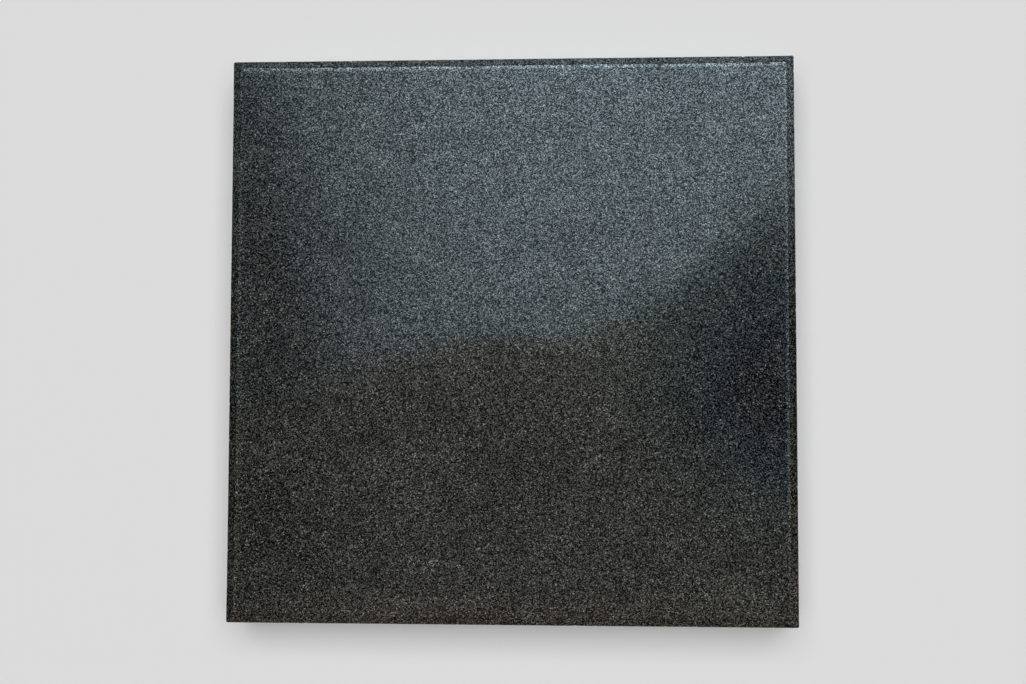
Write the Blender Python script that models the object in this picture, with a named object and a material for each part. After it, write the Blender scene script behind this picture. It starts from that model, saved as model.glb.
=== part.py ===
"""A square granite slab for leather tooling, on four stick-on rubber feet.

Metres, +Z up. The origin is on the bench, under the middle of the slab.
The rear is +Y and the right is +X. Each foot is a separate moulding, held to the stone by an adhesive disc.
"""

import math

import bmesh
import bpy
from mathutils import Matrix, Vector

# The stone: a 12 inch square block, 1 1/4 inch thick
SLAB_SIDE = 0.305
SLAB_THICKNESS = 0.032
TOP_CHAMFER = 0.0045
BOTTOM_ARRIS = 0.0015
CORNER_ARRIS = 0.0008

# The rubber feet: tapered bumpers with a shallow dish in the sole. A foot's axis is
# inset from both of the slab's nearest side faces.
FOOT_INSET = 0.038
FOOT_TOP_RADIUS = 0.019
FOOT_SOLE_RADIUS = 0.017
FOOT_HEIGHT = 0.008
FOOT_ROUNDING = 0.0008
DISH_RADIUS = 0.0075
DISH_DEPTH = 0.0015
DISH_SLOPE = 0.001

# The adhesive discs
ADHESIVE_RADIUS = 0.018
ADHESIVE_THICKNESS = 0.001

# Pieces that touch keep this much apart
JOINT_GAP = 0.0003

# Finishes, as a colour and a roughness
GRANITE = ((0.036, 0.037, 0.035), 0.2)
RUBBER = ((0.018, 0.018, 0.019), 0.75)
ADHESIVE_FOAM = ((0.10, 0.10, 0.10), 0.85)

TURNED_SEGMENTS = 48
ROUNDING_STEPS = 4
MERGE_DISTANCE = 0.000001
SMOOTH_UP_TO = math.radians(40)

ADHESIVE_BASE = FOOT_HEIGHT + JOINT_GAP
SLAB_BASE = ADHESIVE_BASE + ADHESIVE_THICKNESS + JOINT_GAP
FOOT_OFFSET = SLAB_SIDE / 2 - FOOT_INSET

# Which corner of the slab a foot stands at, as signs of X and Y
CORNERS = {
    "front_left": (-1, -1),
    "front_right": (1, -1),
    "rear_left": (-1, 1),
    "rear_right": (1, 1),
}


def clear_scene():
    for item in list(bpy.data.objects):
        bpy.data.objects.remove(item, do_unlink=True)


def make_material(name, finish):
    """A non-metallic material of one piece's own."""
    colour, roughness = finish
    material = bpy.data.materials.new(name)
    material.use_nodes = True
    shader = material.node_tree.nodes["Principled BSDF"]
    shader.inputs["Base Color"].default_value = (*colour, 1.0)
    shader.inputs["Roughness"].default_value = roughness
    shader.inputs["Metallic"].default_value = 0.0
    return material


def make_object(name, bm, finish, location):
    """Turns a finished bmesh into a named object with its own material."""
    bmesh.ops.recalc_face_normals(bm, faces=bm.faces)
    mesh = bpy.data.meshes.new(name)
    bm.to_mesh(mesh)
    bm.free()
    mesh.materials.append(make_material(name, finish))
    item = bpy.data.objects.new(name, mesh)
    item.location = location
    bpy.context.scene.collection.objects.link(item)
    return item


def plane_off(bm, point, normal):
    """Takes away what lies beyond a plane and closes the cut with a flat face."""
    whole = list(bm.verts) + list(bm.edges) + list(bm.faces)
    cut = bmesh.ops.bisect_plane(
        bm,
        geom=whole,
        dist=MERGE_DISTANCE,
        plane_co=point,
        plane_no=normal,
        clear_outer=True,
    )
    rim = [part for part in cut["geom_cut"] if isinstance(part, bmesh.types.BMEdge)]
    bmesh.ops.edgeloop_fill(bm, edges=rim)


def arris_plane(first, second, width):
    """The plane that cuts an edge back by width, where two outward directions meet.

    The directions are unit vectors along two of the block's own axes.
    """
    half = Vector((SLAB_SIDE / 2, SLAB_SIDE / 2, SLAB_THICKNESS / 2))
    edge = Vector([half[i] * (first[i] + second[i]) for i in range(3)])
    return edge - width * first, (first + second).normalized()


def make_slab():
    """The stone: a block whose arrises are cut back at 45 degrees, widest round the top."""
    bm = bmesh.new()
    size = Matrix.Diagonal((SLAB_SIDE, SLAB_SIDE, SLAB_THICKNESS, 1.0))
    bmesh.ops.create_cube(bm, size=1.0, matrix=size)
    up = Vector((0, 0, 1))
    for turn in range(4):
        angle = turn * math.pi / 2
        side = Vector((round(math.cos(angle)), round(math.sin(angle)), 0))
        next_side = Vector((-side.y, side.x, 0))
        plane_off(bm, *arris_plane(side, next_side, CORNER_ARRIS))
        plane_off(bm, *arris_plane(side, up, TOP_CHAMFER))
        plane_off(bm, *arris_plane(side, -up, BOTTOM_ARRIS))
    middle = SLAB_BASE + SLAB_THICKNESS / 2
    make_object("granite_slab", bm, GRANITE, (0, 0, middle))


def rounding(centre_radius, centre_height, start, end):
    """Points on a rounded corner of the foot's outline, from one angle to another in degrees."""
    points = []
    for step in range(ROUNDING_STEPS + 1):
        angle = math.radians(start + (end - start) * step / ROUNDING_STEPS)
        radius = centre_radius + FOOT_ROUNDING * math.cos(angle)
        height = centre_height + FOOT_ROUNDING * math.sin(angle)
        points.append((radius, height))
    return points


def foot_outline():
    """A foot's half section, as (radius, height), from the dish's middle round to the top's middle."""
    dish = [
        (0.0, DISH_DEPTH),
        (DISH_RADIUS, DISH_DEPTH),
        (DISH_RADIUS + DISH_SLOPE, 0.0),
    ]
    lower = rounding(FOOT_SOLE_RADIUS - FOOT_ROUNDING, FOOT_ROUNDING, -90, 0)
    upper = rounding(FOOT_TOP_RADIUS - FOOT_ROUNDING, FOOT_HEIGHT - FOOT_ROUNDING, 0, 90)
    return dish + lower + upper + [(0.0, FOOT_HEIGHT)]


def turn_outline(outline):
    """Spins a half section about Z into a closed solid."""
    bm = bmesh.new()
    corners = [bm.verts.new((radius, 0, height)) for radius, height in outline]
    edges = [bm.edges.new(pair) for pair in zip(corners, corners[1:])]
    bmesh.ops.spin(
        bm,
        geom=corners + edges,
        cent=(0, 0, 0),
        axis=(0, 0, 1),
        angle=2 * math.pi,
        steps=TURNED_SEGMENTS,
        use_merge=True,
    )
    bmesh.ops.remove_doubles(bm, verts=bm.verts, dist=MERGE_DISTANCE)
    return bm


def shade_round(item):
    """Smooths the turned sides and leaves the flat faces crisp."""
    item.data.shade_smooth()
    item.data.set_sharp_from_angle(angle=SMOOTH_UP_TO)


def make_foot(corner, place):
    bm = turn_outline(foot_outline())
    shade_round(make_object("foot_" + corner, bm, RUBBER, place))


def make_adhesive(corner, place):
    outline = [
        (0.0, 0.0),
        (ADHESIVE_RADIUS, 0.0),
        (ADHESIVE_RADIUS, ADHESIVE_THICKNESS),
        (0.0, ADHESIVE_THICKNESS),
    ]
    bm = turn_outline(outline)
    shade_round(make_object("foot_adhesive_" + corner, bm, ADHESIVE_FOAM, place))


def main():
    clear_scene()
    make_slab()
    for corner, (x_sign, y_sign) in CORNERS.items():
        x = x_sign * FOOT_OFFSET
        y = y_sign * FOOT_OFFSET
        make_foot(corner, (x, y, 0))
        make_adhesive(corner, (x, y, ADHESIVE_BASE))


main()
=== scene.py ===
"""The looks of a granite tooling slab on four stick-on rubber feet.

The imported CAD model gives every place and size. The stone, the feet and the adhesive discs are
remade with finer geometry, and each surface has a procedural material. Lengths are in metres.
"""

import math
import random

import bpy
import numpy as np
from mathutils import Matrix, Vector, noise


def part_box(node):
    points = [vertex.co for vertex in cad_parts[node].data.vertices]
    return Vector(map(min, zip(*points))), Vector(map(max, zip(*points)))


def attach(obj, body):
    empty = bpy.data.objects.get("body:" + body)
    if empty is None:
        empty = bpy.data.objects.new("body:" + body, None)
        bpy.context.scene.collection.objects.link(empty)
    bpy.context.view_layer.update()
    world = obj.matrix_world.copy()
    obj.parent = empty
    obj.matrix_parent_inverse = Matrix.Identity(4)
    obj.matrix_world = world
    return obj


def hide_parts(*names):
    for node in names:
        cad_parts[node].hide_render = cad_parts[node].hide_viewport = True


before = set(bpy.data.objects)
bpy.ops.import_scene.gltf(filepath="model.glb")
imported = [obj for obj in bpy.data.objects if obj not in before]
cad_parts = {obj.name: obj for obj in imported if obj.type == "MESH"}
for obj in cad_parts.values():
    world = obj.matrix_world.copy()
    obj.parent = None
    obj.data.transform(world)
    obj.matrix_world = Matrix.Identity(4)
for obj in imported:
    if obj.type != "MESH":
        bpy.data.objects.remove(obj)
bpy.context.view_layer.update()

MM = 0.001

# The camera stands almost straight above the slab, a little towards the front and the right.
# Its turn is in degrees.
CAMERA_PLACE = (0.0442, -0.0472, 0.8006)
CAMERA_TURN = (3.407, 3.187, 0.131)
CAMERA_LENS = 50.0
CAMERA_SENSOR = 36.0

# The stone's edges, as in the CAD solid. The chamfer is ground by hand, so it wanders a little,
# and each side has its own mean, in the order front, right, rear, left. It comes back to size
# over the last part of each side.
TOP_CHAMFER = 4.5 * MM
CHAMFER_OFFSETS = (0.0, 0.0, 0.25 * MM, 0.6 * MM)
CHAMFER_WANDER = 0.22 * MM
CHAMFER_TAPER = 28 * MM
BOTTOM_ARRIS = 1.5 * MM
UNDERSIDE_RIM = 1.2 * MM
CORNER_ROUND = 0.8 * MM
TIGHTEST_ROUND = 0.12 * MM

# Polishing rolls the work face over by a few degrees towards its arris, then rounds the arris
ROLL_WIDTH = 2.4 * MM
ROLL_TILT = math.radians(6)
CHAMFER_TILT = math.pi / 4
POLISHED_ROUND = 0.6 * MM
HONED_ROUND = 0.35 * MM

# The stone's mesh: the space between its columns of points, and the steps in each part of a column
EDGE_PITCH = 0.46 * MM
CORNER_STEPS = 3
ROLL_STEPS = 4
POLISHED_ROUND_STEPS = 4
CHAMFER_STEPS = 5
HONED_ROUND_STEPS = 3
SIDE_SHARES = (0.04, 0.12, 0.3, 0.55, 0.8, 0.94, 1.0)
ARRIS_STEPS = 3

# Surfaces of the stone, as material indices
POLISHED, HONED, SAWN = range(3)

# Chips on each side's arrises: how many lie on the upper, outer and bottom one, how much of the
# side they keep to, their radii in millimetres, and their depths as shares of the radius. A chip
# this far out from the slab's middle is pushed in from that side.
CHIP_SEED = 41
UPPER_CHIPS = 7
OUTER_CHIPS = 6
BOTTOM_CHIPS = 14
BOTTOM_CHIP_GROWTH = 1.7
CHIP_REACH = 0.98
CHIP_RADII = (0.5, 1.0)
CHIP_DEPTHS = (0.16, 0.34)
CHIPPED_FROM = 0.13
CHIP_SLANT = 0.5

# The stone's flat sheet for baking, which is 1 wide and 1 high
SHEET_MARGIN = 0.002
FACE_SPAN = 0.66
UNDERSIDE_LEFT = 0.668
UNDERSIDE_SPAN = 0.33
STRIPS_FROM = 0.664
STRIP_GAP = 0.006
EDGE_OFFSET = 0.4

# The granite's crystals, and the soft clouds in how many of them are pale
COARSE_CRYSTAL = 0.85 * MM
FINE_CRYSTAL = 0.46 * MM
COARSE_SHARE = 0.15
FINE_SHARE = 0.85
CRYSTAL_BEND = 0.25 * MM
CRYSTAL_BEND_SCALE = 2200.0
CLOUD = 16 * MM
CLOUD_STRENGTH = 0.17

# Its minerals, from dark to pale, each with its place on the scale of lightness, and the tints that
# they take, each with its place on the scale of hue
MINERALS = (
    (0.36, (0.0010, 0.0010, 0.0010)),
    (0.45, (0.0060, 0.0061, 0.0056)),
    (0.54, (0.0300, 0.0304, 0.0285)),
    (0.72, (0.0720, 0.0730, 0.0690)),
    (0.89, (0.1500, 0.1524, 0.1470)),
    (0.97, (0.4750, 0.4826, 0.4655)),
)
TINTS = (
    (0.0, (0.95, 0.89, 0.77)),
    (0.5, (0.91, 0.91, 0.86)),
    (1.0, (0.83, 0.90, 0.90)),
)
CRUSHED_STONE = (0.17, 0.17, 0.165, 1.0)
GRINDING_FLOUR = (0.10, 0.10, 0.098, 1.0)
SAW_DUST = (0.15, 0.148, 0.143, 1.0)

# How bright the minerals look in each finish. The honed chamfer is set darker than the polished face: that
# darkness is painted shade on the chamfer.
POLISHED_BRIGHTNESS = 0.56
HONED_SHADED_BRIGHTNESS = 0.38
SAWN_BRIGHTNESS = 1.15

# The saw's arcs: their centre, as a place along and down the edge, and their pitch
SAW_CENTRE = (0.23, -0.34, 0.0)
SAW_PITCH = 3.1 * MM

# The feet, and the foam, which fills most of the gap that the CAD solids keep above and below it
CORNERS = ("front_left", "front_right", "rear_left", "rear_right")
SOLE_RADIUS = 17 * MM
GRIP_GROOVES = (10.4 * MM, 12.5 * MM, 14.6 * MM)
FOOT_SEGMENTS = 96
FOAM_SEGMENTS = 240
FOAM_INSET = 0.28 * MM
FOAM_BULGE = 0.2 * MM
PRESSED_CLOSER = 0.24 * MM

RUBBER = (0.0135, 0.0135, 0.0142, 1.0)
BLOOMED_RUBBER = (0.027, 0.0268, 0.026, 1.0)
RUBBER_DUST = (0.11, 0.108, 0.10, 1.0)
# The inside of the foam's cut bubbles: painted shade in the hollows
FOAM_BUBBLE_SHADE = (0.035, 0.035, 0.037, 1.0)
FOAM_WALL = (0.125, 0.125, 0.127, 1.0)
FOAM_DIRT = (0.085, 0.082, 0.078, 1.0)

# The floor and the backdrop
FLOOR_SIZE = 12.0
FLOOR_COLOUR = (0.8, 0.8, 0.8, 1.0)
BACKDROP_COLOUR = (0.7, 0.7, 0.7, 1.0)

# One large soft light overhead. It is far away, so its shadow is the same everywhere, and its
# spread and lean are shares of its height.
SOFTBOX_HEIGHT = 60.0
SOFTBOX_SPREAD = 1.0
SOFTBOX_LEAN = (0.07, 0.195)
SOFTBOX_STRENGTH = 11.6
AROUND_STRENGTH = 0.045

# The card that the polish mirrors, and the low walls that the chamfers mirror
CARD_HALF = 0.75
CARD_HEIGHT = 1.0416
LOW_ROOM_REACH = 0.5
LOW_ROOM_FLOOR = -0.25
LOW_ROOM_TOP = 0.10

# The window on the card. Its lower edge is this high in the middle, rises to the right as a cubic,
# and falls to the left as a square.
WINDOW_EDGE = 0.0685
WINDOW_RISE = (0.19, 0.65, 3.3)
WINDOW_RISE_END = 0.26
WINDOW_FALL = 0.78
WINDOW_FALL_END = -0.35
WINDOW_SHARPEST = 0.012
WINDOW_SOFTENS_FROM = 0.06

# Patches on the card, each with its centre, and the distances where it starts and is full
DARK_PATCH = ((0.28, 0.0, 0.0), 0.17, 0.03)
COOL_PATCH = ((0.30, 0.03, 0.0), 0.28, 0.05)
BLUE_PATCH = ((0.31, 0.005, 0.0), 0.16, 0.04)

WINDOW_COLOUR = (0.76, 1.0, 1.14, 1.0)
ROOM_COLOUR = (1.0, 1.0, 0.9, 1.0)
COOL_COLOUR = (0.45, 1.0, 1.15, 1.0)
BLUE_COLOUR = (0.34, 1.0, 2.3, 1.0)
FRONT_COLOUR = (1.16, 1.0, 0.78, 1.0)
LOW_ROOM_COLOUR = (1.2, 1.0, 0.78, 1.0)

# What the polish mirrors from lower angles: a dim room with a window behind and one in front. Each
# window has its azimuth, its half width, and the heights of its foot and its head, all but the
# first as parts of a direction of length 1.
FAR_ROOM_COLOUR = (1.0, 0.98, 0.9, 1.0)
FAR_ROOM_STRENGTH = 0.32
REAR_WINDOW = (225, 0.45, 0.1, 0.42)
REAR_WINDOW_STRENGTH = 2.0
FRONT_WINDOW = (45, 0.3, 0.08, 0.26)
FRONT_WINDOW_STRENGTH = 1.6
WINDOW_BLUR = 0.05


# ---------------------------------------------------------------- node helpers


def add_node(tree, kind, inputs=None, **settings):
    """Makes a node. An input that is given a socket is linked to it, and any other takes the value."""
    made = tree.nodes.new(kind)
    for name, value in settings.items():
        setattr(made, name, value)
    for name, value in (inputs or {}).items():
        if isinstance(value, bpy.types.NodeSocket):
            tree.links.new(value, made.inputs[name])
        else:
            made.inputs[name].default_value = value
    return made


def calc(tree, operation, first, second=0.0):
    """The result of one operation on two numbers or sockets."""
    return add_node(tree, "ShaderNodeMath", {0: first, 1: second}, operation=operation).outputs[0]


def total(tree, result, *others):
    """All of them added up."""
    for other in others:
        result = calc(tree, "ADD", result, other)
    return result


def product(tree, result, *others):
    """All of them multiplied."""
    for other in others:
        result = calc(tree, "MULTIPLY", result, other)
    return result


def less(tree, first, second):
    """The first without the second."""
    return calc(tree, "SUBTRACT", first, second)


def kept_within(tree, value, low, high):
    """The value, held between two limits."""
    return calc(tree, "MINIMUM", calc(tree, "MAXIMUM", value, low), high)


def smooth_range(tree, value, low, high, to_low=0.0, to_high=1.0):
    """A smooth rise of value from low to high."""
    made = add_node(
        tree,
        "ShaderNodeMapRange",
        {"Value": value, "From Min": low, "From Max": high, "To Min": to_low, "To Max": to_high},
        interpolation_type="SMOOTHSTEP",
    )
    return made.outputs["Result"]


def smooth_hill(tree, value, middle, reach, flat=0.0):
    """1 as near to the middle as flat, falling smoothly to 0 as far from it as reach."""
    away = calc(tree, "ABSOLUTE", less(tree, value, middle))
    return smooth_range(tree, away, flat, reach, 1.0, 0.0)


def patch(tree, place, centre, start, full):
    """A round patch: 0 as far from its centre as start, and 1 within full."""
    gap = add_node(tree, "ShaderNodeVectorMath", {0: place, 1: centre}, operation="DISTANCE")
    return smooth_range(tree, gap.outputs["Value"], start, full)


def blend_colours(tree, share, first, second, blend_type="MIX"):
    """The first colour with a share of the second."""
    made = add_node(
        tree,
        "ShaderNodeMixRGB",
        {"Fac": share, "Color1": first, "Color2": second},
        blend_type=blend_type,
    )
    return made.outputs["Color"]


def ramp(tree, value, stops):
    """The colour at a value, from a list of (value, colour)."""
    made = add_node(tree, "ShaderNodeValToRGB", {"Fac": value})
    elements = made.color_ramp.elements
    while len(elements) < len(stops):
        elements.new(0.5)
    for element, (position, colour) in zip(elements, stops):
        element.position = position
        element.color = (*colour, 1.0)
    return made.outputs["Color"]


def noise_at(tree, place, size, detail=2.0):
    """Soft noise from 0 to 1, with lumps about this many metres across."""
    inputs = {"Vector": place, "Scale": 1.0 / size, "Detail": detail}
    return add_node(tree, "ShaderNodeTexNoise", inputs).outputs["Fac"]


def raise_surface(tree, shader, height, depth, strength=1.0):
    """Gives the shader relief: height from 0 to 1 stands for this many metres."""
    bump = add_node(tree, "ShaderNodeBump", {"Height": height, "Distance": depth, "Strength": strength})
    tree.links.new(bump.outputs["Normal"], shader.inputs["Normal"])


def object_place(tree):
    return add_node(tree, "ShaderNodeTexCoord").outputs["Object"]


def edge_place(tree):
    """Distance along the stone's edge and down across it, in metres."""
    return add_node(tree, "ShaderNodeUVMap", uv_map="edge").outputs["UV"]


def stretched(tree, place, along, across):
    """The place squeezed, so that a pattern of unit size comes out this long and this wide."""
    scale = (1.0 / along, 1.0 / across, 1.0)
    return add_node(tree, "ShaderNodeVectorMath", {0: place, 1: scale}, operation="MULTIPLY").outputs[0]


def new_material(name):
    """An empty Principled material, as itself, its tree and its shader."""
    material = bpy.data.materials.new(name)
    material.use_nodes = True
    return material, material.node_tree, material.node_tree.nodes["Principled BSDF"]


def new_glow(name):
    """An empty material for something that only shines, as itself and its tree."""
    material = bpy.data.materials.new(name)
    material.use_nodes = True
    material.node_tree.nodes.clear()
    return material, material.node_tree


def shine(tree, *lights):
    """Ends a tree with the sum of two lights, each given as (colour, strength)."""
    emitters = [
        add_node(tree, "ShaderNodeEmission", {"Color": colour, "Strength": strength}).outputs[0]
        for colour, strength in lights
    ]
    both = add_node(tree, "ShaderNodeAddShader", dict(enumerate(emitters)))
    add_node(tree, "ShaderNodeOutputMaterial", {"Surface": both.outputs[0]})


# ---------------------------------------------------------------- granite


def crystals(tree, place, size):
    """Two random numbers from 0 to 1 for each crystal, in crystals about this many metres across."""
    cells = add_node(tree, "ShaderNodeTexVoronoi", {"Vector": place, "Scale": 1.0 / size})
    split = add_node(tree, "ShaderNodeSeparateColor", {"Color": cells.outputs["Color"]})
    return split.outputs["Red"], split.outputs["Green"]


def grain(tree):
    """Each spot's lightness, from 0 for black mica to 1 for pale feldspar, its hue and its facet."""
    place = object_place(tree)
    ripple = {"Vector": place, "Scale": CRYSTAL_BEND_SCALE, "Detail": 0.0}
    wander = add_node(tree, "ShaderNodeTexNoise", ripple)
    bent = add_node(
        tree,
        "ShaderNodeVectorMath",
        {0: wander.outputs["Color"], 1: (CRYSTAL_BEND, CRYSTAL_BEND, CRYSTAL_BEND), 2: place},
        operation="MULTIPLY_ADD",
    ).outputs[0]
    coarse, hue = crystals(tree, bent, COARSE_CRYSTAL)
    fine, facet = crystals(tree, bent, FINE_CRYSTAL)
    mixed = total(tree, product(tree, coarse, COARSE_SHARE), product(tree, fine, FINE_SHARE))
    cloud = noise_at(tree, place, CLOUD, 3.0)
    drift = product(tree, less(tree, cloud, 0.5), CLOUD_STRENGTH)
    return total(tree, mixed, drift), hue, facet


def mineral_colour(tree, light, hue, brightness):
    """Black mica, charcoal hornblende, grey to white feldspar and a few bright flecks of quartz."""
    stops = [
        (position, [channel * brightness for channel in colour])
        for position, colour in MINERALS
    ]
    return blend_colours(tree, 1.0, ramp(tree, light, stops), ramp(tree, hue, TINTS), "MULTIPLY")


def bruise_on(tree, colour):
    """The colour with its chips showing crushed, paler crystals, and how deep each spot is in a chip."""
    chip = add_node(tree, "ShaderNodeAttribute", attribute_name="bruise", attribute_type="GEOMETRY")
    share = product(tree, chip.outputs["Fac"], 0.5)
    return blend_colours(tree, share, colour, CRUSHED_STONE), chip.outputs["Fac"]


def polished_granite():
    """The work face: each crystal takes the polish a little differently, and mica hardly at all."""
    material, tree, shader = new_material("granite_polished")
    light, hue, facet = grain(tree)
    colour, chip = bruise_on(tree, mineral_colour(tree, light, hue, POLISHED_BRIGHTNESS))
    tree.links.new(colour, shader.inputs["Base Color"])
    polish = smooth_range(tree, light, 0.25, 1.0, 0.12, 0.94)
    whole = smooth_range(tree, chip, 0.0, 0.4, 1.0, 0.0)
    tree.links.new(product(tree, polish, whole), shader.inputs["Coat Weight"])
    shader.inputs["Coat Roughness"].default_value = 0.09
    tree.links.new(smooth_range(tree, light, 0.3, 0.8, 0.6, 0.42), shader.inputs["Roughness"])
    shader.inputs["Specular IOR Level"].default_value = 0.0
    raise_surface(tree, shader, total(tree, product(tree, facet, 0.4), light), 0.012 * MM)
    return material


def honed_granite():
    """The chamfer: ground by hand, so it is duller than the face, with faint marks along it. Its colour is
    set darker than the face's, as painted shade.
    """
    material, tree, shader = new_material("granite_honed")
    light, hue, facet = grain(tree)
    place = edge_place(tree)
    marks = noise_at(tree, stretched(tree, place, 14 * MM, 0.35 * MM), 1.0, 2.0)
    patches = noise_at(tree, stretched(tree, place, 9 * MM, 3 * MM), 1.0, 1.0)
    crisp = add_node(tree, "ShaderNodeMath", {0: light, 1: 1.3, 2: -0.15}, operation="MULTIPLY_ADD")
    # The honed brightness darkens the chamfer below the face: painted shade.
    colour = mineral_colour(tree, crisp.outputs[0], hue, HONED_SHADED_BRIGHTNESS)
    flour = smooth_range(tree, patches, 0.3, 0.7, 0.0, 0.02)
    flour = product(tree, smooth_range(tree, marks, 0.45, 0.75), flour)
    colour, chip = bruise_on(tree, blend_colours(tree, flour, colour, GRINDING_FLOUR))
    tree.links.new(colour, shader.inputs["Base Color"])
    polish = smooth_range(tree, light, 0.3, 0.9, 0.02, 1.0)
    whole = smooth_range(tree, chip, 0.0, 0.4, 1.0, 0.0)
    unworn = smooth_range(tree, patches, 0.2, 0.8, 1.0, 0.8)
    tree.links.new(product(tree, polish, product(tree, whole, unworn)), shader.inputs["Coat Weight"])
    shader.inputs["Coat Roughness"].default_value = 0.18
    tree.links.new(smooth_range(tree, patches, 0.25, 0.75, 0.5, 0.62), shader.inputs["Roughness"])
    shader.inputs["Specular IOR Level"].default_value = 0.0
    relief = total(tree, product(tree, marks, 1.2), product(tree, facet, 0.5))
    raise_surface(tree, shader, relief, 0.02 * MM)
    return material


def saw_arcs(tree, place):
    """The shallow arcs that the saw's teeth leave, from 0 to 1, strong in some places and faint in others."""
    wander = noise_at(tree, place, 22 * MM, 2.0)
    blade = add_node(tree, "ShaderNodeVectorMath", {0: place, 1: SAW_CENTRE}, operation="DISTANCE")
    radius = total(tree, blade.outputs["Value"], product(tree, wander, 1.6 * MM))
    wave = calc(tree, "SINE", product(tree, radius, 2 * math.pi / SAW_PITCH))
    wave = total(tree, product(tree, wave, 0.5), 0.5)
    strength = smooth_range(tree, noise_at(tree, place, 35 * MM, 1.0), 0.35, 0.65, 0.2, 1.0)
    return product(tree, wave, strength)


def sawn_granite():
    """The sides and the underside: matt and paler, with the marks of the saw."""
    material, tree, shader = new_material("granite_sawn")
    light, hue, facet = grain(tree)
    arcs = saw_arcs(tree, edge_place(tree))
    pits = noise_at(tree, object_place(tree), 0.5 * MM, 2.0)
    colour = mineral_colour(tree, total(tree, light, 0.05), hue, SAWN_BRIGHTNESS)
    dust = total(tree, product(tree, arcs, 0.16), smooth_range(tree, pits, 0.4, 0.7, 0.06, 0.22))
    colour, chip = bruise_on(tree, blend_colours(tree, dust, colour, SAW_DUST))
    tree.links.new(colour, shader.inputs["Base Color"])
    tree.links.new(smooth_range(tree, pits, 0.3, 0.7, 0.55, 0.8), shader.inputs["Roughness"])
    shader.inputs["Specular IOR Level"].default_value = 0.3
    raise_surface(tree, shader, total(tree, product(tree, arcs, 0.6), pits), 0.08 * MM)
    return material


def chamfer_size(side, along, reach):
    """How wide the chamfer is cut at a place along one side. It comes back to size at the corners."""
    wave = 0.7 * noise.noise(Vector((along / (45 * MM), side * 7.3, 0.5)))
    wave += 0.3 * noise.noise(Vector((along / (7 * MM), side * 7.3, 9.5)))
    from_corner = min(1.0, (reach - abs(along)) / CHAMFER_TAPER)
    taper = from_corner * from_corner * (3 - 2 * from_corner)
    return TOP_CHAMFER + taper * (CHAMFER_OFFSETS[side] + CHAMFER_WANDER * wave)


def polished_walk():
    """The work face's rim, as (distance outwards, drop) from where the face stops being flat."""
    round_turn = (CHAMFER_TILT - ROLL_TILT) / POLISHED_ROUND_STEPS
    moves = [
        (ROLL_TILT * (step + 0.5) / ROLL_STEPS, ROLL_WIDTH / ROLL_STEPS)
        for step in range(ROLL_STEPS)
    ]
    moves += [
        (ROLL_TILT + round_turn * (step + 0.5), POLISHED_ROUND * round_turn)
        for step in range(POLISHED_ROUND_STEPS)
    ]
    walk = [(0.0, 0.0)]
    for angle, length in moves:
        out, drop = walk[-1]
        walk.append((out + length * math.cos(angle), drop + length * math.sin(angle)))
    return walk


def edge_profile(chamfer, height):
    """The stone's edge from the work face down to the underside, as (inset, drop, surface)."""
    walk = polished_walk()
    walk_end, walk_drop = walk[-1]
    start = chamfer + walk_end - walk_drop
    profile = [(start - out, drop, POLISHED) for out, drop in walk]

    tangent = HONED_ROUND * math.tan(CHAMFER_TILT / 2)
    upper = profile[-1][0]
    lower = tangent * math.cos(CHAMFER_TILT)
    for step in range(1, CHAMFER_STEPS):
        inset = upper + (lower - upper) * step / CHAMFER_STEPS
        profile.append((inset, chamfer - inset, HONED))
    for step in range(HONED_ROUND_STEPS + 1):
        angle = CHAMFER_TILT * (1 - step / HONED_ROUND_STEPS)
        inset = HONED_ROUND * (1 - math.cos(angle))
        drop = chamfer + tangent - HONED_ROUND * math.sin(angle)
        profile.append((inset, drop, HONED))

    top = profile[-1][1]
    foot = height - BOTTOM_ARRIS
    for share in SIDE_SHARES:
        profile.append((0.0, top + (foot - top) * share, SAWN))
    for step in range(1, ARRIS_STEPS + 1):
        cut = BOTTOM_ARRIS * step / ARRIS_STEPS
        profile.append((cut, foot + cut, SAWN))
    profile.append((BOTTOM_ARRIS + UNDERSIDE_RIM, height, SAWN))
    return profile


def perimeter(half):
    """Stations round the slab, anticlockwise from the front: (side, along, turn within the corner)."""
    reach = half - CORNER_ROUND
    steps = round(2 * reach / EDGE_PITCH)
    stations = []
    for side in range(4):
        for step in range(steps):
            stations.append((side, -reach + 2 * reach * step / steps, 0.0))
        for step in range(CORNER_STEPS):
            stations.append((side, reach, math.pi / 2 * step / CORNER_STEPS))
    return stations


def side_directions(side):
    """Outwards from one side of the slab, and along it anticlockwise."""
    angle = side * math.pi / 2
    out = Vector((math.sin(angle), -math.cos(angle)))
    way = Vector((math.cos(angle), math.sin(angle)))
    return out, way


def station_point(half, inset, side, along, turn):
    """Where a station lies at this inset. The corners stay mitred, so the ring shrinks as a square."""
    corner = max(CORNER_ROUND - inset, TIGHTEST_ROUND)
    out, way = side_directions(side)
    inner = half - inset - corner
    run = along / (half - CORNER_ROUND) * inner
    return out * (inner + corner * math.cos(turn)) + way * (run + corner * math.sin(turn))


def make_chips(half, top, height):
    """Places of small chips on the arrises, as (centre, radius, depth)."""
    rng = random.Random(CHIP_SEED)
    arrises = (
        (TOP_CHAMFER, 0.0, UPPER_CHIPS, 1.0),
        (0.0, TOP_CHAMFER, OUTER_CHIPS, 1.0),
        (0.5 * BOTTOM_ARRIS, height - 0.5 * BOTTOM_ARRIS, BOTTOM_CHIPS, BOTTOM_CHIP_GROWTH),
    )
    chips = []
    for side in range(4):
        out, way = side_directions(side)
        for inset, drop, count, growth in arrises:
            for _ in range(count):
                along = rng.uniform(-CHIP_REACH, CHIP_REACH) * (half - TOP_CHAMFER)
                radius = rng.uniform(*CHIP_RADII) * MM * growth
                depth = radius * rng.uniform(*CHIP_DEPTHS)
                place = out * (half - inset) + way * along
                chips.append((Vector((place.x, place.y, top - drop)), radius, depth))
    return chips


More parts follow.
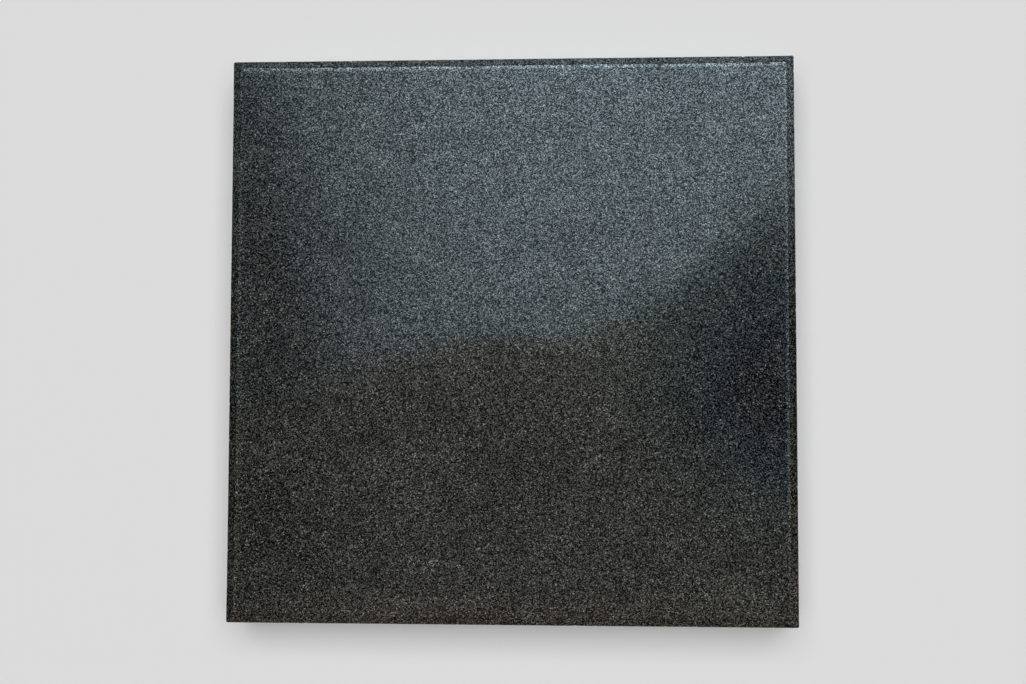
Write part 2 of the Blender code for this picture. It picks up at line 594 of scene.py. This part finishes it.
def chip_direction(centre, middle):
    """Inwards from the side or sides that a chip is near, and a little towards mid-height."""
    inward = np.array(middle) - np.array(centre)
    inward[:2] *= np.abs(inward[:2]) > CHIPPED_FROM
    inward /= np.abs(inward[:2]).max()
    inward[2] = -CHIP_SLANT if centre.z > middle.z else CHIP_SLANT
    return inward


def chip_away(points, chips, middle):
    """Moves points near a chip inwards. Returns the moved points and how deep each lies in a chip."""
    bruise = np.zeros(len(points))
    for centre, radius, depth in chips:
        offset = points - np.array(centre)
        distance = np.sqrt((offset * offset).sum(axis=1))
        near = distance < radius
        share = 1 - (distance[near] / radius) ** 2
        points[near] += (depth * share ** 0.6)[:, None] * chip_direction(centre, middle)
        bruise[near] = np.maximum(bruise[near], share ** 0.5)
    return points, bruise


def distances_down(columns):
    """How far each point of a column lies from its top, measured over the surface."""
    down = []
    for column in columns:
        lengths = [0.0]
        for upper, lower in zip(column, column[1:]):
            lengths.append(lengths[-1] + math.hypot(lower[0] - upper[0], lower[1] - upper[1]))
        down.append(lengths)
    return down


def square_spot(point, half, left, span):
    """Where a point of a flat face lies on the sheet, in a square of this span."""
    scale = span / (2 * half)
    return left + (point.x + half) * scale, SHEET_MARGIN + (point.y + half) * scale


def strip_measures(column, down, side_length):
    """Where the edge's strips start, as a distance down it, and their pitch and scale on the sheet."""
    polished_rings = sum(1 for inset, drop, surface in column if surface == POLISHED)
    top = max(lengths[polished_rings - 1] for lengths in down)
    height = max(lengths[-2] for lengths in down) - top
    pitch = (1.0 - STRIPS_FROM - 2 * SHEET_MARGIN) / 4
    return top, pitch, min(FACE_SPAN / side_length, (pitch - STRIP_GAP) / height)


def lay_out_stone(mesh, columns, stations, half):
    """Two UV maps: "edge" in metres along and across the stone's edge, and "OFBake" as one flat sheet.

    On the sheet, the work face takes the big square, the edge lies above it in four strips, one for
    each side, and the underside takes a smaller square beside them.
    """
    ring_size = len(stations)
    last_ring = len(columns[0]) - 1
    side_of = [side for side, offset, turn in stations]
    along = [offset + half - CORNER_ROUND + CORNER_ROUND * turn for side, offset, turn in stations]
    side_length = 2 * (half - CORNER_ROUND) + CORNER_ROUND * math.pi / 2
    down = distances_down(columns)
    strip_top, strip_pitch, strip_scale = strip_measures(columns[0], down, side_length)
    edge_values = np.zeros((len(mesh.loops), 2), np.float32)
    sheet_values = np.zeros((len(mesh.loops), 2), np.float32)
    for polygon in mesh.polygons:
        corners = [mesh.loops[loop].vertex_index for loop in polygon.loop_indices]
        columns_here = [corner % ring_size for corner in corners]
        closes_ring = max(columns_here) - min(columns_here) > ring_size // 2
        side = side_of[max(columns_here) if closes_ring else min(columns_here)]
        under = min(corners) // ring_size >= last_ring - 1
        for loop, corner, column in zip(polygon.loop_indices, corners, columns_here):
            point = mesh.vertices[corner].co
            if polygon.material_index == POLISHED:
                edge_values[loop] = (point.x, point.y)
                sheet_values[loop] = square_spot(point, half, SHEET_MARGIN, FACE_SPAN)
            elif under:
                edge_values[loop] = (point.x, point.y)
                sheet_values[loop] = square_spot(point, half, UNDERSIDE_LEFT, UNDERSIDE_SPAN)
            else:
                distance = along[column] if side_of[column] == side else side_length
                depth = down[column][corner // ring_size]
                lowered = side * strip_pitch + (depth - strip_top) * strip_scale
                edge_values[loop] = (distance + side * EDGE_OFFSET, depth)
                sheet_values[loop] = (
                    SHEET_MARGIN + distance * strip_scale,
                    1.0 - 2 * SHEET_MARGIN - lowered,
                )

    edge = mesh.uv_layers.new(name="edge")
    sheet = mesh.uv_layers.new(name="OFBake")
    edge.data.foreach_set("uv", edge_values.ravel())
    sheet.data.foreach_set("uv", sheet_values.ravel())


def stone_faces(ring_size, column):
    """The stone's faces and their surfaces: the work face, the quads round the edge, the underside."""
    faces = [list(range(ring_size))]
    surfaces = [POLISHED]
    for ring in range(len(column) - 1):
        upper = ring * ring_size
        lower = upper + ring_size
        for i in range(ring_size):
            j = (i + 1) % ring_size
            faces.append([upper + j, upper + i, lower + i, lower + j])
            surfaces.append(column[ring + 1][2])
    last = (len(column) - 1) * ring_size
    faces.append([last + i for i in reversed(range(ring_size))])
    surfaces.append(SAWN)
    return faces, surfaces


def make_stone():
    """The slab as one closed mesh, with its three finishes."""
    low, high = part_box("granite_slab")
    half = (high.x - low.x) / 2
    height = high.z - low.z
    stations = perimeter(half)
    reach = half - CORNER_ROUND
    columns = [edge_profile(chamfer_size(side, along, reach), height) for side, along, turn in stations]
    vertices = []
    for ring in range(len(columns[0])):
        for column, (side, along, turn) in zip(columns, stations):
            inset, drop, surface = column[ring]
            spot = station_point(half, inset, side, along, turn)
            vertices.append((spot.x, spot.y, high.z - drop))
    middle = Vector((0, 0, (low.z + high.z) / 2))
    points, bruise = chip_away(np.array(vertices), make_chips(half, high.z, height), middle)
    faces, surfaces = stone_faces(len(stations), columns[0])

    mesh = bpy.data.meshes.new("stone")
    mesh.from_pydata([tuple(point) for point in points], [], faces)
    mesh.polygons.foreach_set("material_index", surfaces)
    mesh.shade_smooth()
    bruised = mesh.attributes.new("bruise", "FLOAT", "POINT")
    bruised.data.foreach_set("value", bruise.astype(np.float32))
    lay_out_stone(mesh, columns, stations, half)
    for material in (polished_granite(), honed_granite(), sawn_granite()):
        mesh.materials.append(material)
    stone = bpy.data.objects.new("stone", mesh)
    bpy.context.scene.collection.objects.link(stone)
    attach(stone, "root")
    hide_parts("granite_slab")


# ---------------------------------------------------------------- feet


def moulded_rubber():
    """Black rubber with a fine moulded texture, a dusty bloom and a few scuffs."""
    material, tree, shader = new_material("moulded_rubber")
    place = object_place(tree)
    bloom = noise_at(tree, place, 6 * MM, 3.0)
    texture = noise_at(tree, place, 0.35 * MM, 2.0)
    specks = noise_at(tree, place, 1.1 * MM, 4.0)
    colour = blend_colours(tree, smooth_range(tree, bloom, 0.35, 0.7), RUBBER, BLOOMED_RUBBER)
    dust = smooth_range(tree, specks, 0.6, 0.72, 0.0, 0.35)
    tree.links.new(blend_colours(tree, dust, colour, RUBBER_DUST), shader.inputs["Base Color"])
    tree.links.new(smooth_range(tree, bloom, 0.3, 0.7, 0.58, 0.82), shader.inputs["Roughness"])
    shader.inputs["Specular IOR Level"].default_value = 0.4
    raise_surface(tree, shader, texture, 0.05 * MM, 0.7)
    return material


def adhesive_foam():
    """Dark grey closed-cell foam: small bubbles cut open at the edge, painted darker inside as shade in their
    hollows, with some dirt on them.
    """
    material, tree, shader = new_material("adhesive_foam")
    place = object_place(tree)
    bubbles = add_node(tree, "ShaderNodeTexVoronoi", {"Vector": place, "Scale": 1.0 / (0.3 * MM)})
    wall = smooth_range(tree, bubbles.outputs["Distance"], 0.15, 0.6)
    shade = noise_at(tree, place, 3 * MM, 2.0)
    # The bubbles are darker than their walls: painted shade in the hollows.
    colour = blend_colours(tree, wall, FOAM_BUBBLE_SHADE, FOAM_WALL)
    dirt = smooth_range(tree, shade, 0.4, 0.7, 0.0, 0.5)
    tree.links.new(blend_colours(tree, dirt, colour, FOAM_DIRT), shader.inputs["Base Color"])
    tree.links.new(smooth_range(tree, shade, 0.3, 0.7, 0.8, 0.95), shader.inputs["Roughness"])
    shader.inputs["Specular IOR Level"].default_value = 0.3
    raise_surface(tree, shader, wall, 0.12 * MM)
    return material


def arc_points(middle, radius, start, end, steps):
    """Points on an arc, as (radius from the axis, height), between two angles in degrees."""
    points = []
    for step in range(steps + 1):
        angle = math.radians(start + (end - start) * step / steps)
        points.append((middle[0] + radius * math.cos(angle), middle[1] + radius * math.sin(angle)))
    return points


def dished_sole():
    """The dish in the sole, from the stub of the mould's gate in its middle out to its rounded rim."""
    gate = [(0.0, 1.15 * MM), (0.9 * MM, 1.15 * MM), (1.1 * MM, 1.0 * MM), (1.25 * MM, 1.5 * MM)]
    wall = arc_points((7.2 * MM, 1.2 * MM), 0.3 * MM, 90, 20, 3) + [(8.3 * MM, 0.25 * MM)]
    rim = arc_points((8.75 * MM, 0.25 * MM), 0.25 * MM, 200, 270, 3)
    return gate + wall + rim


def grip_groove(middle):
    """A rounded groove in the sole, with eased edges."""
    inner = [(middle - 0.5 * MM, 0.0), (middle - 0.38 * MM, 0.05 * MM)]
    outer = [(middle + 0.38 * MM, 0.05 * MM), (middle + 0.5 * MM, 0.0)]
    return inner + arc_points((middle, 0.3 * MM), 0.28 * MM, 200, -20, 5) + outer


def foot_side(low, high):
    """The foot's side between two points, drawn in a little in its middle."""
    points = []
    for step in range(1, 7):
        share = step / 7
        hollow = 0.22 * MM * math.sin(math.pi * share)
        points.append((low[0] + (high[0] - low[0]) * share - hollow, low[1] + (high[1] - low[1]) * share))
    return points


def foot_outline(sole_radius, top_radius, height):
    """Half of the foot's section, from the middle of the sole round to the middle of the top.

    The side draws in towards the sole, with a thin parting line just under the top.
    """
    points = dished_sole()
    for middle in GRIP_GROOVES:
        points += grip_groove(middle)
    points += arc_points((sole_radius - 0.8 * MM, 0.8 * MM), 0.8 * MM, -90, -8, 5)
    high = (top_radius - 0.12 * MM, height - 1.55 * MM)
    points += foot_side(points[-1], high)
    points += [high, (top_radius, height - 1.45 * MM), (top_radius, height - 1.3 * MM)]
    points += [(top_radius - 0.1 * MM, height - 1.2 * MM)]
    points += arc_points((top_radius - 0.9 * MM, height - 0.8 * MM), 0.8 * MM, 0, 90, 5)
    points += [(top_radius * 0.5, height), (0.0, height)]
    return points


def turned_faces(rings, segments):
    """The faces of a turned solid whose two end points come after all of its rings."""
    faces = []
    for ring in range(rings - 1):
        lower = ring * segments
        upper = lower + segments
        for i in range(segments):
            j = (i + 1) % segments
            faces.append([lower + i, lower + j, upper + j, upper + i])
    bottom = rings * segments
    last = (rings - 1) * segments
    for i in range(segments):
        j = (i + 1) % segments
        faces.append([bottom, j, i])
        faces.append([bottom + 1, last + i, last + j])
    return faces


def turn_outline(name, outline, segments, place, wobble=None):
    """Spins half a section about an upright axis. Wobble moves a point, given its place and angle."""
    rings = outline[1:-1]
    vertices = []
    for radius, height in rings:
        for i in range(segments):
            angle = 2 * math.pi * i / segments
            r, h = wobble(radius, height, angle) if wobble else (radius, height)
            vertices.append((r * math.cos(angle), r * math.sin(angle), h))
    vertices.append((0, 0, outline[0][1]))
    vertices.append((0, 0, outline[-1][1]))
    mesh = bpy.data.meshes.new(name)
    mesh.from_pydata(vertices, [], turned_faces(len(rings), segments))
    mesh.shade_smooth()
    mesh.set_sharp_from_angle(angle=math.radians(50))
    item = bpy.data.objects.new(name, mesh)
    item.location = place
    bpy.context.scene.collection.objects.link(item)
    return item


def make_foot(corner, rubber):
    """A turned rubber bumper in place of the plain CAD foot."""
    low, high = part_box("foot_" + corner)
    middle = (low + high) / 2
    outline = foot_outline(SOLE_RADIUS, (high.x - low.x) / 2, high.z - low.z)
    foot = turn_outline("bumper_" + corner, outline, FOOT_SEGMENTS, (middle.x, middle.y, low.z))
    foot.data.materials.append(rubber)
    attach(foot, "root")
    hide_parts("foot_" + corner)


def foam_outline(radius, half):
    """Half of the foam disc's section, with a bulging edge."""
    outline = [(0.0, -half), (0.6 * radius, -half)]
    for step in range(9):
        angle = math.pi * (step / 8 - 0.5)
        outline.append((radius - FOAM_INSET + FOAM_BULGE * math.cos(angle), half * math.sin(angle)))
    return outline + [(0.6 * radius, half), (0.0, half)]


def make_adhesive(corner, foam, number):
    """The foam disc, squeezed by the stone's weight, so that its edge bulges unevenly."""
    node = "foot_adhesive_" + corner
    low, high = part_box(node)
    middle = (low + high) / 2
    radius = (high.x - low.x) / 2
    half = (high.z - low.z) / 2 + PRESSED_CLOSER

    def wobble(r, h, angle):
        if r < 0.9 * radius:
            return r, h
        x = math.cos(angle)
        y = math.sin(angle)
        broad = noise.noise(Vector((9 * x, 9 * y, h / (0.6 * MM) + 13 * number)))
        fine = noise.noise(Vector((60 * x, 60 * y, h / (0.3 * MM) + 13 * number)))
        return r + 0.05 * MM * broad + 0.03 * MM * fine, h

    disc = turn_outline("foam_" + corner, foam_outline(radius, half), FOAM_SEGMENTS, middle, wobble)
    disc.data.materials.append(foam)
    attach(disc, "root")
    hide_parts(node)


def make_feet():
    rubber = moulded_rubber()
    foam = adhesive_foam()
    for number, corner in enumerate(CORNERS):
        make_foot(corner, rubber)
        make_adhesive(corner, foam, number)


# ---------------------------------------------------------------- studio


def make_floor():
    """A plain pale floor. Glossy rays miss it: the photograph's slab mirrors a dim room instead."""
    bpy.ops.mesh.primitive_plane_add(size=FLOOR_SIZE, location=(0, 0, 0))
    floor = bpy.context.object
    floor.name = "floor"
    material, tree, shader = new_material("floor")
    shader.inputs["Base Color"].default_value = FLOOR_COLOUR
    shader.inputs["Roughness"].default_value = 0.9
    shader.inputs["Specular IOR Level"].default_value = 0.0
    floor.data.materials.append(material)
    floor.visible_glossy = False


def show_to_gloss_only(item):
    """Marks a stage object that only glossy rays see."""
    item.visible_camera = False
    item.visible_diffuse = False
    item.visible_shadow = False


def window_share(tree, u, v):
    """1 inside the window, 0 in the room under it. The window's lower edge is softer at the right."""
    slope, bend, curl = WINDOW_RISE
    rise = kept_within(tree, u, 0.0, WINDOW_RISE_END)
    edge = product(tree, rise, curl)
    edge = product(tree, total(tree, edge, bend), rise)
    edge = product(tree, total(tree, edge, slope), rise)
    fall = kept_within(tree, u, WINDOW_FALL_END, 0.0)
    edge = less(tree, edge, product(tree, fall, fall, WINDOW_FALL))
    edge = total(tree, edge, WINDOW_EDGE)
    beyond = calc(tree, "MAXIMUM", less(tree, u, WINDOW_SOFTENS_FROM), 0.0)
    softness = total(tree, product(tree, beyond, beyond), WINDOW_SHARPEST)
    return smooth_range(tree, calc(tree, "DIVIDE", less(tree, v, edge), softness), -1.0, 1.0)


def window_light(tree, u, v):
    """The window is brightest at its top and at its two sides, and it fades to the left."""
    reach = total(tree, product(tree, v, 0.28), 0.35)
    to_left = calc(tree, "DIVIDE", calc(tree, "MINIMUM", u, 0.0), reach)
    fade = calc(tree, "MAXIMUM", less(tree, 1.0, product(tree, to_left, to_left)), 0.14)
    light = total(tree, product(tree, v, 6.8), 3.9, smooth_range(tree, v, 0.43, 0.50, 0.0, 8.0))
    light = product(tree, light, fade)
    at_right = smooth_range(tree, u, 0.34, 0.42, 0.0, 3.4)
    at_left = smooth_range(tree, u, -0.43, -0.50, 0.0, 1.1)
    return total(tree, light, at_right, at_left)


def room_light(tree, place, u, v, front):
    """The room is lighter just under the window, and darkest at the left and in a patch at the right."""
    under = product(tree, smooth_range(tree, v, -0.06, 0.04), smooth_hill(tree, u, -0.05, 0.3, 0.12))
    light = total(tree, product(tree, under, 0.4), 1.0)
    left = smooth_range(tree, u, -0.20, -0.38)
    corner = total(tree, product(tree, smooth_hill(tree, v, -0.17, 0.12), 0.40), 0.27)
    light = less(tree, light, product(tree, left, corner))
    light = less(tree, light, product(tree, patch(tree, place, *DARK_PATCH), 0.88))
    at_right = smooth_range(tree, u, 0.35, 0.42, 0.0, 1.2)
    at_left = smooth_range(tree, u, -0.43, -0.50, 0.0, 0.8)
    return total(tree, light, product(tree, front, 0.3), at_right, at_left)


def room_hue(tree, place, front):
    """The room's colour: nearly neutral, cool to blue at the right, and warm at the front."""
    hue = blend_colours(tree, patch(tree, place, *COOL_PATCH), ROOM_COLOUR, COOL_COLOUR)
    hue = blend_colours(tree, patch(tree, place, *BLUE_PATCH), hue, BLUE_COLOUR)
    return blend_colours(tree, front, hue, FRONT_COLOUR)


def make_card():
    """What the polish mirrors: a window behind and above, over a dim room."""
    bpy.ops.mesh.primitive_plane_add(size=2 * CARD_HALF, location=(0, 0, CARD_HEIGHT))
    card = bpy.context.object
    card.name = "reflection_card"
    material, tree = new_glow("reflection_card")
    place = object_place(tree)
    split = add_node(tree, "ShaderNodeSeparateXYZ", {"Vector": place})
    u = split.outputs["X"]
    v = split.outputs["Y"]
    above = window_share(tree, u, v)
    front = smooth_range(tree, v, -0.262, -0.29)
    window = product(tree, window_light(tree, u, v), above)
    room = product(tree, room_light(tree, place, u, v, front), less(tree, 1.0, above))
    shine(tree, (WINDOW_COLOUR, window), (room_hue(tree, place, front), room))
    card.data.materials.append(material)
    show_to_gloss_only(card)


def make_low_room():
    """What the chamfers mirror: four low walls round the slab, brighter behind."""
    reach = LOW_ROOM_REACH
    corners = [(-reach, -reach), (reach, -reach), (reach, reach), (-reach, reach)]
    vertices = [(x, y, z) for z in (LOW_ROOM_FLOOR, LOW_ROOM_TOP) for x, y in corners]
    faces = [(i, (i + 1) % 4, 4 + (i + 1) % 4, 4 + i) for i in range(4)]
    mesh = bpy.data.meshes.new("low_room")
    mesh.from_pydata(vertices, [], faces)
    walls = bpy.data.objects.new("low_room", mesh)
    bpy.context.scene.collection.objects.link(walls)
    material, tree = new_glow("low_room")
    place = add_node(tree, "ShaderNodeSeparateXYZ", {"Vector": object_place(tree)})
    x = place.outputs["X"]
    y = place.outputs["Y"]
    to_right = smooth_range(tree, x, -0.5, 0.1, 0.4, 1.9)
    rear = product(tree, smooth_range(tree, y, 0.02, 0.19), to_right)
    slant = total(tree, y, product(tree, x, -0.12))
    front = smooth_range(tree, slant, -0.10, -0.26, 0.03, 0.7)
    shine(tree, (WINDOW_COLOUR, rear), (LOW_ROOM_COLOUR, front))
    mesh.materials.append(material)
    show_to_gloss_only(walls)


def make_softbox():
    """The large square soft light, a little to the rear and the right."""
    data = bpy.data.lights.new("softbox", "AREA")
    data.shape = "SQUARE"
    data.size = SOFTBOX_SPREAD * SOFTBOX_HEIGHT
    data.energy = SOFTBOX_STRENGTH * data.size ** 2
    softbox = bpy.data.objects.new("softbox", data)
    lean_x, lean_y = SOFTBOX_LEAN
    softbox.location = (lean_x * SOFTBOX_HEIGHT, lean_y * SOFTBOX_HEIGHT, SOFTBOX_HEIGHT)
    softbox.visible_glossy = False
    bpy.context.scene.collection.objects.link(softbox)


def mirrored_window(tree, way, azimuth, half_width, low, high):
    """1 where a direction points into a soft-edged window. Azimuth 0 is the front, and 90 the right."""
    a = math.radians(azimuth)
    ahead = (math.sin(a), -math.cos(a), 0.0)
    beside = (math.cos(a), math.sin(a), 0.0)
    forward = add_node(tree, "ShaderNodeVectorMath", {0: way, 1: ahead}, operation="DOT_PRODUCT")
    sideways = add_node(tree, "ShaderNodeVectorMath", {0: way, 1: beside}, operation="DOT_PRODUCT")
    aside = calc(tree, "ABSOLUTE", sideways.outputs["Value"])
    up = add_node(tree, "ShaderNodeSeparateXYZ", {"Vector": way}).outputs["Z"]
    blur = WINDOW_BLUR
    return product(
        tree,
        smooth_range(tree, aside, half_width - 2 * blur, half_width + 2 * blur, 1.0, 0.0),
        smooth_range(tree, up, low - blur, low + blur),
        smooth_range(tree, up, high - blur, high + blur, 1.0, 0.0),
        smooth_range(tree, forward.outputs["Value"], 0.0, 0.1),
    )


def background(tree, colour, strength):
    return add_node(tree, "ShaderNodeBackground", {"Color": colour, "Strength": strength}).outputs[0]


def shader_switch(tree, share, off, on):
    """One of two shaders, by a share of 0 or 1."""
    return add_node(tree, "ShaderNodeMixShader", {0: share, 1: off, 2: on}).outputs[0]


def make_world():
    """Weak light from all round, a plain pale backdrop, and a far room for the polish to mirror."""
    world = bpy.data.worlds.new("studio")
    world.use_nodes = True
    tree = world.node_tree
    tree.nodes.clear()
    way = add_node(tree, "ShaderNodeTexCoord").outputs["Generated"]
    rear = product(tree, mirrored_window(tree, way, *REAR_WINDOW), REAR_WINDOW_STRENGTH)
    front = product(tree, mirrored_window(tree, way, *FRONT_WINDOW), FRONT_WINDOW_STRENGTH)
    windows = total(tree, rear, front)
    around = background(tree, (1.0, 1.0, 1.0, 1.0), AROUND_STRENGTH)
    room = background(tree, FAR_ROOM_COLOUR, FAR_ROOM_STRENGTH)
    panes = background(tree, WINDOW_COLOUR, windows)
    behind = background(tree, BACKDROP_COLOUR, 1.0)
    mirrored = add_node(tree, "ShaderNodeAddShader", {0: room, 1: panes}).outputs[0]
    path = add_node(tree, "ShaderNodeLightPath")
    unseen = shader_switch(tree, path.outputs["Is Glossy Ray"], around, mirrored)
    either = shader_switch(tree, path.outputs["Is Camera Ray"], unseen, behind)
    add_node(tree, "ShaderNodeOutputWorld", {"Surface": either})
    bpy.context.scene.world = world


def make_camera():
    data = bpy.data.cameras.new("camera")
    data.lens = CAMERA_LENS
    data.sensor_width = CAMERA_SENSOR
    camera = bpy.data.objects.new("camera", data)
    camera.location = CAMERA_PLACE
    camera.rotation_euler = [math.radians(angle) for angle in CAMERA_TURN]
    bpy.context.scene.collection.objects.link(camera)
    bpy.context.scene.camera = camera


make_camera()
make_stone()
make_feet()
make_floor()
make_card()
make_low_room()
make_world()
make_softbox()
bpy.context.scene.view_settings.view_transform = "Standard"
